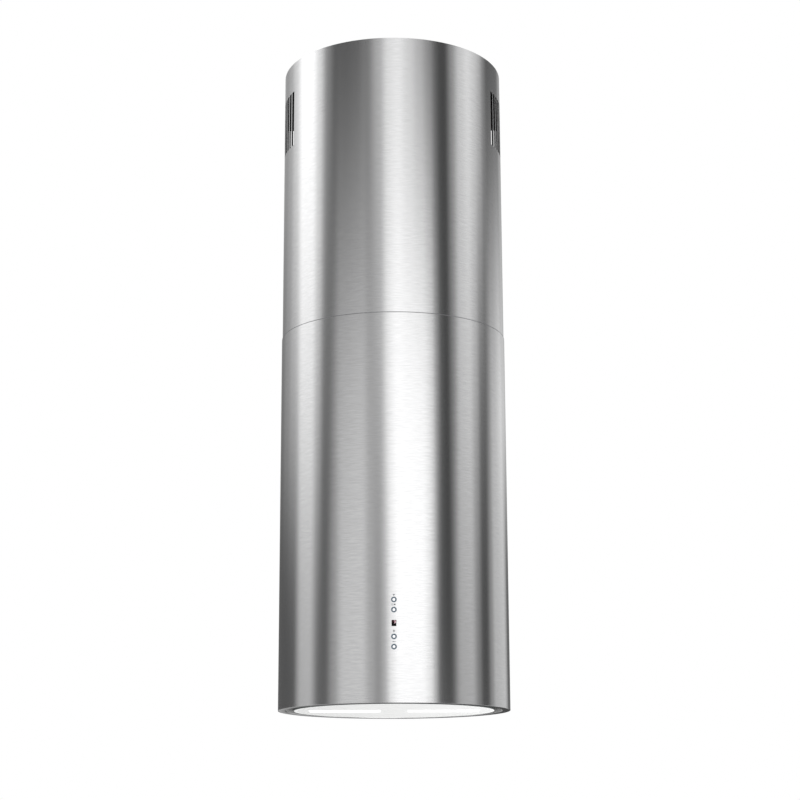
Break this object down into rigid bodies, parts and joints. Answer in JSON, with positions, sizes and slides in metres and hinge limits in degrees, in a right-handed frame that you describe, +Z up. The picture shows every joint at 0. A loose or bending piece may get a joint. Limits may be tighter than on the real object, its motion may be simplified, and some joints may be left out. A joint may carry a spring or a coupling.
{
  "type": "island range hood",
  "caption": "Ceiling-hung cylindrical range hood with telescoping brushed steel chimney, side vent slots, front push buttons and a lit drop-down bottom panel.",
  "frame": {"origin": "centre of the ceiling plate's top face, which lies against the ceiling", "axes": "+Z up along the cylinder, -Y towards the controls, +X to the right when facing the controls"},
  "size_m": [0.3499, 0.3502, 1.0155],
  "materials": {
    "brushed_shell": "brushed round the tube, satin",
    "polished_lip": "fine polished",
    "galvanised_steel": "zinc coated sheet",
    "zinc_fasteners": "bright zinc plated",
    "white_plastic": "fine matt moulding",
    "black_plastic": "fine matt moulding",
    "grey_plastic": "fine matt moulding",
    "foil_duct": "corrugated foil",
    "motor_casting": "die cast",
    "bearing_steel": "ground",
    "rubber_mount": "moulded",
    "carbon_cartridge": "perforated moulding over granules",
    "circuit_board": "solder mask",
    "capacitor_case": "smooth",
    "filter_aluminium": "expanded mesh in a rolled frame",
    "button_steel": "fine turned",
    "ring_light_guide": "slate blue light guide",
    "display_black": "smoked window",
    "white_glass": "white backed glass, polished edge",
    "led_diffuser": "opal diffuser, lit"
  },
  "bodies": {
    "ceiling_frame": {"ceiling_plate": "galvanised_steel", "upper_rails": "galvanised_steel", "upper_rail_nuts": "zinc_fasteners", "upper_chimney": "brushed_shell", "ceiling_screws": "zinc_fasteners", "air_deflector": "white_plastic", "deflector_brackets": "galvanised_steel", "flexible_duct": "foil_duct", "upper_duct_clamp": "zinc_fasteners"},
    "fan": {"fan_wheel": "grey_plastic", "fan_shaft": "bearing_steel"},
    "front_flap": {"damper_flap_front": "grey_plastic"},
    "rear_flap": {"damper_flap_rear": "grey_plastic"},
    "bottom_panel": {"glass_panel": "white_glass", "panel_tray": "galvanised_steel", "led_lens_left": "led_diffuser", "led_lens_right": "led_diffuser", "led_boards": "circuit_board", "panel_hinge_arms": "zinc_fasteners", "catch_pins": "zinc_fasteners"},
    "latch": {"filter_latch": "black_plastic"},
    "button_a": {"button_1": "button_steel"},
    "button_b": {"button_2": "button_steel"},
    "button_c": {"button_3": "button_steel"},
    "button_d": {"button_4": "button_steel"},
    "hood_body": {"lower_shell": "brushed_shell", "rim_lip": "polished_lip", "support_ring": "galvanised_steel", "shell_brackets": "galvanised_steel", "lower_rails": "galvanised_steel", "rail_clamps": "zinc_fasteners", "rail_foot_bolts": "zinc_fasteners", "motor_housing": "galvanised_steel", "housing_top_plate": "galvanised_steel", "scroll_left": "black_plastic", "scroll_right": "black_plastic", "outlet_adaptor": "black_plastic", "motor_body": "motor_casting", "motor_bearings": "bearing_steel", "motor_bracket": "galvanised_steel", "motor_mounts": "rubber_mount", "carbon_filter_left": "carbon_cartridge", "carbon_filter_right": "carbon_cartridge", "damper_collar": "black_plastic", "damper_rod": "zinc_fasteners", "lower_duct_clamp": "zinc_fasteners", "power_box": "grey_plastic", "power_box_cover": "grey_plastic", "power_board": "circuit_board", "run_capacitor": "capacitor_case", "cable_gland": "black_plastic", "control_housing": "black_plastic", "control_board": "circuit_board", "button_light_rings": "ring_light_guide", "display_window": "display_black", "filter_frame": "filter_aluminium", "filter_mesh": "filter_aluminium", "filter_handle": "grey_plastic", "hinge_brackets": "galvanised_steel", "catch_receivers": "grey_plastic"}
  },
  "joints": [
    {"name": "height_adjust", "type": "slide", "parent": "ceiling_frame", "child": "hood_body", "axis": [0, 0, 1], "range_m": [-0.05, 0.15], "deforming": ["flexible_duct"]},
    {"name": "fan_spin", "type": "hinge", "parent": "hood_body", "child": "fan", "pos_m": [0, -0.0105, -0.82], "axis": [1, 0, 0], "continuous": true},
    {"name": "damper_front", "type": "hinge", "parent": "hood_body", "child": "front_flap", "pos_m": [0, 0, -0.654], "axis": [-1, 0, 0], "range_deg": [0, 75]},
    {"name": "damper_rear", "type": "hinge", "parent": "hood_body", "child": "rear_flap", "pos_m": [0, 0, -0.654], "axis": [1, 0, 0], "range_deg": [0, 75]},
    {"name": "panel_hinge", "type": "hinge", "parent": "hood_body", "child": "bottom_panel", "pos_m": [0, 0.113, -1.006], "axis": [1, 0, 0], "range_deg": [0, 70]},
    {"name": "filter_latch_slide", "type": "slide", "parent": "hood_body", "child": "latch", "axis": [0, 1, 0], "range_m": [0, 0.0045], "stiffness_N_per_m": 500, "springref_m": -0.003},
    {"name": "button_1_press", "type": "slide", "parent": "hood_body", "child": "button_a", "axis": [0, 1, 0], "range_m": [0, 0.0008], "stiffness_N_per_m": 1200, "springref_m": -0.0005},
    {"name": "button_2_press", "type": "slide", "parent": "hood_body", "child": "button_b", "axis": [0, 1, 0], "range_m": [0, 0.0008], "stiffness_N_per_m": 1200, "springref_m": -0.0005},
    {"name": "button_3_press", "type": "slide", "parent": "hood_body", "child": "button_c", "axis": [0, 1, 0], "range_m": [0, 0.0008], "stiffness_N_per_m": 1200, "springref_m": -0.0005},
    {"name": "button_4_press", "type": "slide", "parent": "hood_body", "child": "button_d", "axis": [0, 1, 0], "range_m": [0, 0.0008], "stiffness_N_per_m": 1200, "springref_m": -0.0005}
  ]
}
